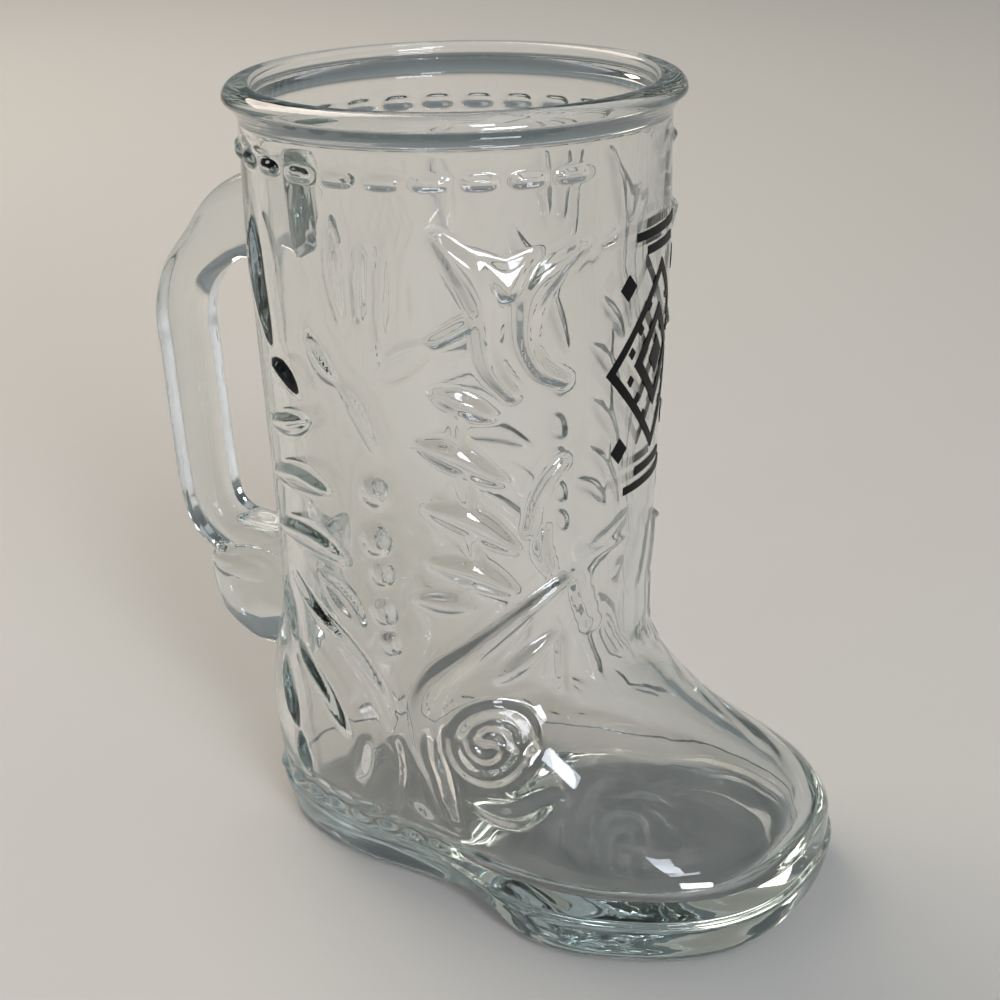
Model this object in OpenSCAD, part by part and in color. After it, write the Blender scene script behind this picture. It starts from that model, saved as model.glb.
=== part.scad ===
// Glass boot mug: a round leg with a rolled rim, a foot on a heel and sole, a loop handle ending in a
// spur, raised boot ornament on both sides and a printed mark on the front of the leg.
// The toe points along +X, the table is z = 0 and the leg's axis is the Z axis.

/* [Leg] */
// Height from the table to the crown of the rim
height = 156; // [145:1:175]
// Outside radius of the leg under the rim
leg_r = 40.2; // [38.5:0.1:43]
// Thickness of the glass at the top of the leg
lip_w = 2.8; // [2:0.1:4]
// Thickness of the glass from the ankle down
wall = 4.2; // [3:0.1:5]

/* [Rim] */
// Height of the rolled rim
rim_h = 6.6; // [5.5:0.1:9]
// How far the bead of the rim stands out from the leg
rim_over = 2.8; // [1:0.1:4]
// Radius of the bead of the rim
bead_r = 2.8; // [2:0.1:3.5]
// Radius of the inner edge of the rim
lip_r = 1.2; // [0.6:0.1:1.8]

/* [Foot] */
// Height of the ankle, where the round leg meets the foot
ankle_h = 72; // [66:1:78]
// How much smaller the ankle's radius is than the leg's
ankle_in = 3; // [1.5:0.1:4.2]
// Reach of the toe in front of the leg's axis
toe_reach = 74.5; // [68:0.5:82]
// Reach of the heel behind the leg's axis
heel_reach = 44; // [41:0.5:48]
// Half width of the heel at the table
heel_half = 26; // [23:0.5:30]
// Half width of the foot at the ball
ball_half = 39.3; // [36:0.1:43]
// How much the vamp is narrower than the ankle
vamp_in = 2.7; // [0:0.1:4]
// How much the waist is drawn in between heel and ball
waist_in = 3; // [0:0.1:5]
// Bluntness of the toe, where 2 is an ellipse
toe_power = 2.7; // [2:0.1:3.2]
// Radius of the corner at the bottom of the cavity
floor_r = 7; // [3:0.5:10]

/* [Sole] */
// Thickness of the sole and heel
sole_t = 9; // [7:0.5:11]
// How far the sole stands out under the foot
welt = 0.8; // [0:0.1:1.5]
// Distance from the leg's axis to the front face of the heel
breast_x = 8; // [4:0.5:12]
// Length of the arch in front of the heel
arch_len = 22; // [12:1:28]
// Rise of the arch above the table
arch_rise = 2.4; // [1:0.1:4]

/* [Handle] */
// Distance from the leg's axis to the middle of the grip
grip_x = 66.2; // [63:0.1:74]
// Thickness of the grip, seen from the side
grip_t = 10; // [8:0.1:12]
// Width of the grip, across the boot
grip_w = 11.5; // [9:0.1:14]
// Height of the upper root on the leg
root_high_z = 127; // [122:0.5:131]
// Height of the lower root on the foot
root_low_z = 55; // [52:0.5:58]
// How much thicker the upper root is than the grip
root_flare = 9; // [4:0.5:10]
// Radius of the spur, a thick disc with a bevelled rim
spur_r = 15; // [12:0.1:16]
// Width of the spur, across the boot
spur_w = 11.5; // [9:0.1:14]
// How far the middle of the spur lies behind the heel
spur_out = 4; // [2:0.1:6]
// How far the middle of the spur lies below the lower root
spur_drop = 9; // [8:0.1:11]
// Bevel of the spur's rim
spur_bevel = 3; // [1:0.1:4]

/* [Ornament] */
// Height of the raised ornament
relief = 1.1; // [0.6:0.1:1.6]
// Width of the broad leaves
leaf_w = 4.6; // [3:0.1:5.5]
// Width of the slender leaves and stems
stem_w = 3; // [2:0.1:4]
// Diameter of the round beads
bead_d = 5.4; // [4:0.1:6]
// Length of a stitch under the rim
stitch_len = 6; // [4:0.1:7]
// Height of a stitch under the rim
stitch_h = 2.5; // [1.5:0.1:3]
// Thickness of the printed mark
print_t = 0.2; // [0.1:0.05:0.4]
// Height of the printed mark
print_h = 50; // [40:1:54]
// Width of the printed mark
print_w = 34; // [26:0.5:36]
// Turn of the printed mark round the leg, in degrees from the toe
print_turn = 8; // [-8:1:8]

/* [Hidden] */
$fn = 96;

// Overrun of every cut
over = 1;
// Gap between raised ornament and the glass that carries it
seat = 0.16;
// Gap between the handle's roots and the leg
root_seat = 0.2;
// Step of the slope measurement on the side of the boot
probe = 0.2;
// Points around a ring of the foot, around the handle and along the height
ring_n = 64;
tube_n = 24;
wall_n = 18;
core_n = 10;
// Segments of the leg's outline, of a leaf and of each span of the handle
leg_n = 14;
leaf_n = 8;
span_n = 3;

neck_z = height - rim_h;
leg_span = neck_z - ankle_h;
rim_r = leg_r + rim_over;
ankle_r = leg_r - ankle_in;
stitch_z = neck_z - 2 * stitch_h;
// Lines across the foot where heel, waist and ball lie
heel_x = -5;
ball_x = 45;
waist_x = 10;
waist_len = 14;
// Reach of the middle of the foot's sections
mid_reach = 12;
// Place of the spur behind the leg's axis and above the table
spur_x = heel_reach + spur_out;
spur_z = root_low_z - spur_drop;

// Outlines of the leg and the foot: share of the height, share of the size that each follows
leg_shares = [[0, 0], [0.25, 0.32], [0.5, 0.66], [0.7, 0.97], [1, 1]];
front_shares = [
    [0, 0.946], [0.125, 1], [0.195, 1], [0.264, 0.933], [0.32, 0.772], [0.375, 0.558], [0.43, 0.37],
    [0.5, 0.196], [0.583, 0.048], [0.68, -0.027], [0.778, -0.027], [0.89, -0.013], [1, 0]
];
back_shares = [[0, 0.632], [0.125, 0.926], [0.347, 1], [0.556, 0.632], [0.764, 0.044], [1, 0]];
heel_shares = [[0, 1], [0.125, 0.732], [0.347, 0.375], [0.625, 0.196], [0.833, 0.054], [1, 0]];
flare_shares = [[0, 0.38], [0.125, 1], [0.278, 0.2], [0.417, 0], [1, 0]];
vamp_shares = [[0, 0], [0.25, 0], [0.417, 1], [0.625, 1], [0.833, 0.22], [1, 0]];
blunt_shares = [[0, 1], [0.208, 1], [0.389, 0.43], [0.625, 0], [1, 0]];
mid_shares = [[0, 1], [0.208, 1], [0.417, 0.5], [0.694, 0.083], [1, 0]];
waist_shares = [[0, 1], [0.125, 0.67], [0.347, 0], [1, 0]];

// Middle line of the handle: share of the grip's reach, share of the height between the roots
handle_shares = [
    [0.755, 0.958], [0.866, 0.882], [0.961, 0.785], [1, 0.674], [0.991, 0.542], [0.976, 0.347],
    [0.958, 0.167], [0.931, 0.069], [0.861, 0.014], [0.755, 0]
];
// Share of the root's flare that is left at the first points of the handle
flare_left_shares = [0.7, 0.35, 0.08, 0];
// Squareness of the handle's section, where 2 is an ellipse, and step along its middle line
grip_power = 2.3;
grip_step = 0.01;

// Ornament on the leg: share of the leg's radius, share of the leg's span above the ankle
tassel_shares = [
    [[-0.06, 0.83], [-0.04, 0.71], [-0.02, 0.59]],
    [[0.1, 0.81], [0.09, 0.7], [0.08, 0.6]],
    [[0.2, 0.8], [0.19, 0.67], [0.16, 0.54]],
    [[-0.58, 0.8], [-0.6, 0.67], [-0.62, 0.5]]
];
wing_shares = [
    [[0.41, 0.81], [0.54, 0.75], [0.65, 0.69]],
    [[0.89, 0.77], [0.8, 0.73], [0.7, 0.69]],
    [[0.64, 0.68], [0.55, 0.57], [0.58, 0.48], [0.64, 0.4]],
    [[0.7, 0.68], [0.73, 0.6], [0.75, 0.52], [0.79, 0.45]]
];
scroll_shares = [
    [[-0.24, 0.56], [-0.16, 0.5], [-0.04, 0.45], [0.03, 0.4], [0.08, 0.34], [0.12, 0.29]],
    [[0.37, 0.56], [0.26, 0.52], [0.15, 0.48]]
];
ladder_shares = [
    [[0.38, 0.45], [0.5, 0.42], [0.6, 0.39]],
    [[0.3, 0.32], [0.45, 0.29], [0.62, 0.23]],
    [[0.33, 0.16], [0.5, 0.13], [0.65, 0.06]],
    [[0.33, 0.02], [0.5, 0], [0.63, -0.05]],
    [[-0.42, 0.36], [-0.52, 0.34], [-0.62, 0.3]],
    [[-0.4, 0.2], [-0.52, 0.17], [-0.64, 0.11]],
    [[-0.38, 0.05], [-0.5, 0.02], [-0.62, -0.04]]
];
bead_shares = [[0.08, 0.19], [0.08, 0.07], [0.1, -0.01], [0.1, -0.12], [0.11, -0.2]];

// Ornament on the foot: share of the ankle's radius, share of the ankle's height
instep_shares = [
    [
        [0.85, 0.95], [0.69, 0.89], [0.45, 0.79], [0.26, 0.71], [0.17, 0.61], [0.18, 0.49], [0.26, 0.4],
        [0.4, 0.27]
    ],
    [[0.62, 0.69], [0.71, 0.74], [0.8, 0.79]],
    [[0.55, 0.35], [0.77, 0.34], [0.94, 0.39]]
];
spiral_shares = [0.6, 0.52];
plume_shares = [
    [[-0.52, 0.88], [-0.38, 0.83], [-0.15, 0.75], [-0.01, 0.66], [0.05, 0.59], [0.06, 0.53]],
    [[-0.55, 0.66], [-0.42, 0.6], [-0.31, 0.52], [-0.23, 0.47]],
    [[-0.65, 0.83], [-0.61, 0.69]],
    [[-0.75, 0.57], [-0.68, 0.4]],
    [[-0.66, 0.38], [-0.67, 0.26]],
    [[-0.13, 0.45], [-0.17, 0.34]],
    [[-0.3, 0.25], [-0.16, 0.24], [0.03, 0.31], [0.11, 0.41], [0.12, 0.5]],
    [[-0.27, 0.93], [-0.15, 0.88], [-0.04, 0.83]]
];
// Places of the welt beads along the foot, as shares of the heel's reach
welt_shares = [-0.82, -0.66, -0.49, -0.3, -0.1, 0.1];
// Spiral: turns, outer radius as a share of the ankle's height
spiral_turns = 1.6;
spiral_share = 0.11;
// Share of the spiral's radius that it loses toward its eye, and of a stem's width that it keeps
curl_share = 0.72;
curl_width_share = 0.7;
// Share of a leaf that its blunt tips leave off
tip_share = 0.08;
// Place of the middle of the printed mark, as a share of the leg's span
print_share = 0.44;
// Printed mark, as shares of its width and height: outer lozenge and its cut, then inner lozenge, its cut
// and its heart
frame_shares = [[1, 0.74], [0.87, 0.644]];
heart_shares = [[0.54, 0.4], [0.38, 0.281], [0.2, 0.148]];
// Places and size of the corner lozenges and of the dots between the outer and the inner lozenge
corner_shares = [0.37, 0.31];
corner_size_shares = [0.13, 0.099];
dot_reach_share = 0.352;
dot_shares = [0.15, 0.37, 0.6];
dot_size_shares = [0.06, 0.046];
// Bars: share of the width, place as a share of the height, and thickness as a share of the height
bar_shares = [[0.62, 0.484], [0.4, 0.424]];
bar_share = 0.032;
// Fullness of the ornament's outlines, where 0 keeps the width and 1 tapers like a sine
slender_fullness = 0.6;
leaf_fullness = 0.8;
wing_fullness = 1;
stem_fullness = 0.5;
curl_fullness = 0.3;

// Smooth curve through a table of places and values
function rate(table, i) = (table[i + 1][1] - table[i][1]) / (table[i + 1][0] - table[i][0]);
function mean_rate(a, b) = a * b <= 0 ? 0 : 2 * a * b / (a + b);
function slope(table, i) =
    i == 0 ? rate(table, 0)
    : i == len(table) - 1 ? rate(table, i - 1)
    : mean_rate(rate(table, i - 1), rate(table, i));
function span(table, t, i = 0) = i >= len(table) - 2 || t <= table[i + 1][0] ? i : span(table, t, i + 1);
function hermite(a, b, da, db, s) =
    a * (1 + 2 * s) * (1 - s) * (1 - s) + da * s * (1 - s) * (1 - s)
    + b * s * s * (3 - 2 * s) - db * s * s * (1 - s);
function curve(table, t) =
    let (i = span(table, t))
    let (gap = table[i + 1][0] - table[i][0])
    let (s = min(1, max(0, (t - table[i][0]) / gap)))
    hermite(table[i][1], table[i + 1][1], slope(table, i) * gap, slope(table, i + 1) * gap, s);

// Leg: a surface of revolution outside, a plain taper inside
function leg_out(z) = ankle_r + (leg_r - ankle_r) * curve(leg_shares, (z - ankle_h) / leg_span);
function leg_in(z) = ankle_r - wall + (leg_r - lip_w - ankle_r + wall) * (z - ankle_h) / leg_span;

// Foot: level sections whose front half is a blunt oval and whose width swells from heel to ball
function front(z) = ankle_r + (toe_reach - ankle_r) * curve(front_shares, z / ankle_h);
function back(z) = -ankle_r - (heel_reach - ankle_r) * curve(back_shares, z / ankle_h);
function mid(z) = mid_reach * curve(mid_shares, z / ankle_h);
function power(z) = 2 + (toe_power - 2) * curve(blunt_shares, z / ankle_h);
function heel_width(z) = ankle_r + (heel_half - ankle_r) * curve(heel_shares, z / ankle_h);
function ball_width(z) =
    ankle_r + (ball_half - ankle_r) * curve(flare_shares, z / ankle_h)
    - vamp_in * curve(vamp_shares, z / ankle_h);
function ease(t) = let (s = min(1, max(0, t))) s * s * (3 - 2 * s);
function half_width(x, z) =
    heel_width(z) + (ball_width(z) - heel_width(z)) * ease((x - heel_x) / (ball_x - heel_x))
    - waist_in * curve(waist_shares, z / ankle_h) * exp(-pow((x - waist_x) / waist_len, 2));
function bend(v, p) = sign(v) * pow(abs(v), 2 / p);
// Point of the section at z, drawn in by inset
function foot_point(a, z, inset) =
    let (p = cos(a) > 0 ? power(z) : 2)
    let (reach = (cos(a) > 0 ? front(z) - mid(z) : mid(z) - back(z)) - inset)
    let (x = mid(z) + reach * bend(cos(a), p))
    [x, (half_width(x, z) - inset) * bend(sin(a), p)];
function foot_ring(z, inset, level) =
    [for (i = [0 : ring_n - 1]) let (q = foot_point(360 * i / ring_n, z, inset)) [q[0], q[1], level]];

// Half width of the whole boot at x and z
function side_y(x, z) =
    z >= ankle_h
    ? sqrt(max(0, pow(leg_out(z), 2) - x * x))
    : let (p = x > mid(z) ? power(z) : 2)
      let (reach = x > mid(z) ? front(z) - mid(z) : mid(z) - back(z))
      half_width(x, z) * pow(max(0, 1 - pow(abs(x - mid(z)) / reach, p)), 1 / p);
// Point on the side at x and z, lifted along the normal
function on_side(q, lift) =
    let (gx = (side_y(q[0] + probe, q[1]) - side_y(q[0] - probe, q[1])) / (2 * probe))
    let (gz = (side_y(q[0], q[1] + probe) - side_y(q[0], q[1] - probe)) / (2 * probe))
    let (m = sqrt(1 + gx * gx + gz * gz))
    [q[0] - lift * gx / m, -side_y(q[0], q[1]) - lift / m, q[1] - lift * gz / m];
function on_leg(share) = [share[0] * leg_r, ankle_h + share[1] * leg_span];
function on_foot(share) = [share[0] * ankle_r, share[1] * ankle_h];

// Smooth path through points
function path_point(points, t) =
    let (n = len(points) - 1)
    let (i = min(n - 1, floor(t * n)))
    let (s = t * n - i)
    let (before = points[max(0, i - 1)], after = points[min(n, i + 2)])
    hermite(points[i], points[i + 1], (points[i + 1] - before) / 2, (after - points[i]) / 2, s);
function swell(t, fullness) = pow(sin(180 * (tip_share + (1 - 2 * tip_share) * t)), fullness);

// Triangles between rings of n points, in a closed round of rings or capped at both ends
function band(i, k, n) =
    [for (j = [0 : n - 1]) let (m = (j + 1) % n) each [
        [i * n + j, k * n + j, k * n + m],
        [i * n + j, k * n + m, i * n + m]
    ]];
module ring_loop(rings) {
    n = len(rings[0]);
    polyhedron(
        [for (ring = rings) each ring],
        [for (i = [0 : len(rings) - 1]) each band(i, (i + 1) % len(rings), n)]
    );
}
module ring_stack(rings, first, last) {
    n = len(rings[0]);
    count = len(rings);
    polyhedron(
        [for (ring = rings) each ring, first, last],
        [
            for (i = [0 : count - 2]) each band(i, i + 1, n),
            for (j = [0 : n - 1]) [count * n, j, (j + 1) % n],
            for (j = [0 : n - 1]) [count * n + 1, (count - 1) * n + (j + 1) % n, (count - 1) * n + j]
        ]
    );
}

// Raised leaf, stem or bead on the side: a ridge that follows the path and the surface
module ridge(points, width, fullness, steps) {
    rings = [
        for (i = [0 : steps])
            let (t = i / steps)
            let (q = path_point(points, t))
            let (d = path_point(points, min(1, t + 1 / steps)) - path_point(points, max(0, t - 1 / steps)))
            let (w = width / 2 * swell(t, fullness) / norm(d))
            let (out = [-d[1], d[0]] * w)
            [
                on_side(q - out, seat),
                on_side(q, seat),
                on_side(q + out, seat),
                on_side(q, seat + relief * swell(t, fullness))
            ]
    ];
    first = (rings[0][1] + rings[0][3]) / 2;
    last = (rings[steps][1] + rings[steps][3]) / 2;
    ring_stack(rings, first, last);
}
module both_sides() {
    children();
    mirror([0, 1, 0]) children();
}
module glass() {
    color([0.76, 0.85, 0.84]) children();
}

module rim_bead() {
    glass() rotate_extrude() {
        translate([rim_r - bead_r, height - bead_r]) circle(bead_r);
        translate([leg_r - lip_w + lip_r, height - lip_r]) circle(lip_r);
        polygon([
            [leg_r - lip_w, neck_z],
            [leg_r, neck_z],
            [rim_r, height - bead_r],
            [rim_r - bead_r, height],
            [leg_r - lip_w + lip_r, height],
            [leg_r - lip_w, height - lip_r]
        ]);
    }
}

// Half section of the leg's glass, or of a film on its outside
function leg_level(i) = ankle_h + leg_span * i / leg_n;
module leg_section() {
    polygon([
        for (i = [0 : leg_n]) [leg_out(leg_level(i)), leg_level(i)],
        for (i = [leg_n : -1 : 0]) [leg_in(leg_level(i)), leg_level(i)]
    ]);
}
module film_section(thick) {
    polygon([
        for (i = [0 : leg_n]) [leg_out(leg_level(i)) + thick, leg_level(i)],
        for (i = [leg_n : -1 : 0]) [leg_out(leg_level(i)), leg_level(i)]
    ]);
}
module leg_wall() {
    glass() rotate_extrude() leg_section();
}

// Inset of the cavity, larger in its rounded bottom corner
function floor_inset(z) =
    let (s = min(1, (z - sole_t) / floor_r))
    wall + floor_r * (1 - sqrt(1 - pow(1 - s, 2)));
function cavity_ring(z) =
    let (lift = wall * (ankle_h - z) / ankle_h)
    foot_ring(z + lift, floor_inset(z), z);
module foot_wall() {
    glass() ring_loop([
        for (i = [0 : wall_n]) let (z = sole_t + (ankle_h - sole_t) * i / wall_n) foot_ring(z, 0, z),
        for (i = [wall_n : -1 : 0]) let (z = sole_t + (ankle_h - sole_t) * i / wall_n) cavity_ring(z)
    ]);
}

// Slab under the foot, drawn in toward the table
module slab() {
    levels = [0, sole_t / 3, sole_t * 2 / 3, sole_t];
    ring_stack([for (z = levels) foot_ring(z, -welt, z)], [0, 0, 0], [0, 0, sole_t]);
}
module ahead_of_breast() {
    translate([breast_x, -2 * ball_half, -over]) cube([toe_reach * 2, 4 * ball_half, sole_t + 2 * over]);
}
module sole_plate() {
    arch_r = (arch_len * arch_len / 4 + arch_rise * arch_rise) / (2 * arch_rise);
    glass() difference() {
        intersection() {
            slab();
            ahead_of_breast();
        }
        translate([breast_x + arch_len / 2, 0, arch_rise - arch_r])
            rotate([90, 0, 0])
            cylinder(h = 4 * ball_half, r = arch_r, center = true);
    }
}
module heel_block() {
    glass() difference() {
        slab();
        ahead_of_breast();
    }
}

// Handle: rings along its middle line, with both ends shaped to the glass they grow from
function handle_point(share) = [-share[0] * grip_x, root_low_z + share[1] * (root_high_z - root_low_z)];
handle_line = [for (share = handle_shares) handle_point(share)];
handle_steps = span_n * (len(handle_line) - 1);
function flare_at(t) =
    let (u = t * (len(handle_line) - 1))
    let (i = min(len(flare_left_shares) - 1, floor(u)), k = min(len(flare_left_shares) - 1, i + 1))
    root_flare * (flare_left_shares[i] + (flare_left_shares[k] - flare_left_shares[i]) * (u - floor(u)));
function oval(a, thick, wide) = [bend(cos(a), grip_power) * thick / 2, bend(sin(a), grip_power) * wide / 2];
function handle_ring(t, extra) =
    let (q = path_point(handle_line, t))
    let (after = path_point(handle_line, min(1, t + grip_step)))
    let (d = after - path_point(handle_line, max(0, t - grip_step)))
    let (n = [-d[1], d[0]] / norm(d))
    [for (j = [0 : tube_n - 1])
        let (c = oval(-360 * j / tube_n, grip_t + flare_at(t) + extra, grip_w + extra))
        [q[0] + n[0] * c[0], c[1], q[1] + n[1] * c[0]]];
function back_x(y, z) =
    z >= ankle_h
    ? -sqrt(pow(leg_out(z), 2) - y * y)
    : mid(z) - (mid(z) - back(z)) * sqrt(1 - pow(y / heel_width(z), 2));
// Ring on the back of the boot, where up is -1 at the upper root and 1 at the lower one
function root_ring(z, thick, up) =
    [for (j = [0 : tube_n - 1])
        let (c = oval(-360 * j / tube_n, thick, grip_w))
        let (level = z + up * c[0])
        [back_x(c[1], level) - root_seat, c[1], level]];
// Rings of the handle, or of the space that it takes with some extra around it
function handle_rings(extra) = [
    root_ring(root_high_z, grip_t + root_flare + extra, -1),
    for (i = [0 : handle_steps]) handle_ring(i / handle_steps, extra),
    root_ring(root_low_z, grip_t + extra, 1)
];
module handle_grip() {
    glass() ring_stack(
        handle_rings(0),
        [back_x(0, root_high_z) - root_seat, 0, root_high_z],
        [back_x(0, root_low_z) - root_seat, 0, root_low_z]
    );
}
// Side views of the handle, run on into the foot, and of the foot, each a seat larger than its glass
module handle_side() {
    rings = handle_rings(2 * root_seat);
    polygon([
        for (ring = rings) [ring[0][0], ring[0][2]],
        for (side = [1, -1]) [0, root_low_z + side * (grip_t / 2 + root_seat)],
        for (i = [len(rings) - 1 : -1 : 0]) let (p = rings[i][tube_n / 2]) [p[0], p[2]]
    ]);
}
module foot_side() {
    polygon([
        [0, sole_t],
        for (i = [0 : core_n]) let (z = sole_t + (ankle_h - sole_t) * i / core_n) [back(z) - root_seat, z],
        [0, ankle_h]
    ]);
}
// Thick disc with a bevelled rim that hangs from the lower arm of the handle and ends at the foot
module handle_spur() {
    face_r = spur_r - spur_bevel;
    glass() intersection() {
        translate([-spur_x, 0, spur_z]) rotate([90, 0, 0]) rotate_extrude() polygon([
            [0, -spur_w / 2],
            [face_r, -spur_w / 2],
            [spur_r, spur_bevel - spur_w / 2],
            [spur_r, spur_w / 2 - spur_bevel],
            [face_r, spur_w / 2],
            [0, spur_w / 2]
        ]);
        rotate([90, 0, 0]) linear_extrude(2 * spur_w, center = true) difference() {
            translate([-2 * spur_x, 0]) square([2 * spur_x, root_low_z]);
            handle_side();
            foot_side();
        }
    }
}

module stitch_bars() {
    pitch = 12;
    front_gap = 24;
    sweep = stitch_len / leg_r * 180 / PI;
    glass() for (a = [front_gap + pitch / 2 : pitch : 360 - front_gap - pitch / 2])
        rotate([0, 0, a - sweep / 2])
        rotate_extrude(angle = sweep)
        translate([leg_out(stitch_z) + seat, stitch_z])
        intersection() {
            circle(stitch_h / 2);
            translate([0, -stitch_h]) square([stitch_h, 2 * stitch_h]);
        }
}
module leg_ridges(table, width, fullness) {
    both_sides() for (shares = table)
        ridge([for (share = shares) on_leg(share)], width, fullness, leaf_n);
}
module foot_ridges(table, width, fullness) {
    both_sides() for (shares = table)
        ridge([for (share = shares) on_foot(share)], width, fullness, leaf_n + 2 * len(shares));
}
module tassel_leaves() {
    glass() leg_ridges(tassel_shares, stem_w, slender_fullness);
}
module wing_leaves() {
    glass() leg_ridges(wing_shares, leaf_w, wing_fullness);
}
module scroll_leaves() {
    glass() leg_ridges(scroll_shares, leaf_w, leaf_fullness);
}
module ladder_leaves() {
    glass() leg_ridges(ladder_shares, leaf_w, leaf_fullness);
}
module bead_columns() {
    glass() both_sides() for (share = bead_shares)
        let (q = on_leg(share), up = [0, bead_d / 2])
        ridge([q - up, q + up], bead_d, stem_fullness, leaf_n);
}
module instep_scrolls() {
    centre = on_foot(spiral_shares);
    outer = spiral_share * ankle_h;
    turn_n = 32;
    curl = [
        for (i = [0 : turn_n])
            let (a = 360 * spiral_turns * i / turn_n)
            let (r = outer * (1 - curl_share * i / turn_n))
            centre + r * [cos(a), sin(a)]
    ];
    glass() {
        foot_ridges(instep_shares, stem_w, stem_fullness);
        both_sides() ridge(curl, stem_w * curl_width_share, curl_fullness, turn_n * 2);
    }
}
module heel_plumes() {
    glass() foot_ridges(plume_shares, stem_w, leaf_fullness);
}
module welt_beads() {
    bead_z = sole_t + stem_w;
    glass() both_sides() for (share = welt_shares)
        let (q = [share * heel_reach, bead_z], along = [bead_d / 2, 0])
        ridge([q - along, q + along], stem_w, stem_fullness, leaf_n);
}

// Printed mark: nested lozenges with a row of dots, small lozenges at the corners and bars above and below
module lozenge(share) {
    scale([share[0] * print_w, share[1] * print_h]) polygon([[0.5, 0], [0, 0.5], [-0.5, 0], [0, -0.5]]);
}
module mark() {
    difference() {
        lozenge(frame_shares[0]);
        lozenge(frame_shares[1]);
    }
    difference() {
        lozenge(heart_shares[0]);
        lozenge(heart_shares[1]);
    }
    lozenge(heart_shares[2]);
    for (sx = [-1, 1], sz = [-1, 1]) {
        translate([sx * corner_shares[0] * print_w, sz * corner_shares[1] * print_h])
            lozenge(corner_size_shares);
        for (share = dot_shares)
            translate([sx * dot_reach_share * (1 - share) * print_w, sz * dot_reach_share * share * print_h])
            lozenge(dot_size_shares);
    }
    for (s = [-1, 1], share = bar_shares)
        translate([0, s * share[1] * print_h])
        square([share[0] * print_w, bar_share * print_h], center = true);
}
module front_print() {
    print_z = ankle_h + print_share * leg_span;
    color([0.06, 0.06, 0.07]) intersection() {
        rotate_extrude() film_section(print_t);
        translate([0, 0, print_z]) rotate([0, 0, print_turn])
            rotate([90, 0, 90]) linear_extrude(rim_r) mark();
    }
}

rim_bead();
leg_wall();
foot_wall();
sole_plate();
heel_block();
handle_grip();
handle_spur();
stitch_bars();
tassel_leaves();
wing_leaves();
scroll_leaves();
ladder_leaves();
bead_columns();
instep_scrolls();
heel_plumes();
welt_beads();
front_print();
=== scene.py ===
import math

import bpy
import numpy as np
from mathutils import Matrix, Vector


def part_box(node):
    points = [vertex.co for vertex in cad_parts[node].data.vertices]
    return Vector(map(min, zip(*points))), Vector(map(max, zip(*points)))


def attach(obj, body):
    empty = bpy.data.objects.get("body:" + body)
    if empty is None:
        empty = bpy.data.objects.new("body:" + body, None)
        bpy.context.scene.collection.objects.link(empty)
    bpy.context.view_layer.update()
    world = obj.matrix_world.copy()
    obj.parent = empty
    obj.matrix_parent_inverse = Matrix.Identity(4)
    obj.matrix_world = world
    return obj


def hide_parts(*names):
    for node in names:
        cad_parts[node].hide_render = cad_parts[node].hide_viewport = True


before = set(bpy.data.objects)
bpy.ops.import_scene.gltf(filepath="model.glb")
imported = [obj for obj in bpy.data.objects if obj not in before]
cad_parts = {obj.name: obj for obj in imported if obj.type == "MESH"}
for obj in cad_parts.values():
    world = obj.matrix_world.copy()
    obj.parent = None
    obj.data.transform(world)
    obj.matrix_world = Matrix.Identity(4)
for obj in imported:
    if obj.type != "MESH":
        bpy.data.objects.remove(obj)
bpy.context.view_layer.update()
scene = bpy.context.scene
scene.view_settings.view_transform = "Standard"
print("frame loaded:", len(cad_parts), "nodes")

mm = 0.001  # the shapes below are worked out in millimetres


def boxMm(node):
    low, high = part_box(node)
    return np.array(low) / mm, np.array(high) / mm


rimLow, rimHigh = boxMm("rim_bead")
legLow, legHigh = boxMm("leg_wall")
footLow, footHigh = boxMm("foot_wall")
gripLow, gripHigh = boxMm("handle_grip")
soleHigh = boxMm("sole_plate")[1]
heelHigh = boxMm("heel_block")[1]
spurLow = boxMm("handle_spur")[0]

# sizes of the boot: the frame gives the outer ones, the rest are the glass itself
boot = {
    "height": rimHigh[2],
    "neckZ": rimLow[2],
    "rimR": rimHigh[0],
    "legR": legHigh[0],
    "ankleH": legLow[2],
    "ankleR": 37.2,
    "wall": 4.2,
    "lipW": 2.8,
    "toeReach": footHigh[0],
    "heelReach": -footLow[0],
    "heelHalf": 26.0,
    "ballHalf": 39.3,
    "vampIn": 2.7,
    "waistIn": 3.0,
    "toePower": 2.7,
    "soleT": soleHigh[2],
    "welt": 0.8,
    "floorR": 7.0,
    "breastX": heelHigh[0],
    "archLen": 22.0,
    "archRise": 2.4,
    "archPower": 0.8,
    "heelX": -5.0,
    "ballX": 45.0,
    "waistX": 10.0,
    "waistLen": 14.0,
    "midReach": 12.0,
}

# outlines of leg and foot: share of the height, share of the size that each follows
legShares = ((0, 0), (0.25, 0.32), (0.5, 0.66), (0.7, 0.97), (1, 1))
frontShares = (
    (0, 0.946), (0.125, 1), (0.195, 1), (0.264, 0.933), (0.32, 0.772), (0.375, 0.558), (0.43, 0.37),
    (0.5, 0.196), (0.583, 0.048), (0.68, -0.027), (0.778, -0.027), (0.89, -0.013), (1, 0),
)
backShares = ((0, 0.632), (0.125, 0.926), (0.347, 1), (0.556, 0.632), (0.764, 0.044), (1, 0))
heelShares = ((0, 1), (0.125, 0.732), (0.347, 0.375), (0.625, 0.196), (0.833, 0.054), (1, 0))
flareShares = ((0, 0.38), (0.125, 1), (0.278, 0.2), (0.417, 0), (1, 0))
vampShares = ((0, 0), (0.25, 0), (0.417, 1), (0.625, 1), (0.833, 0.22), (1, 0))
bluntShares = ((0, 1), (0.208, 1), (0.389, 0.43), (0.625, 0), (1, 0))
midShares = ((0, 1), (0.208, 1), (0.417, 0.5), (0.694, 0.083), (1, 0))
waistShares = ((0, 1), (0.125, 0.67), (0.347, 0), (1, 0))


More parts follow.
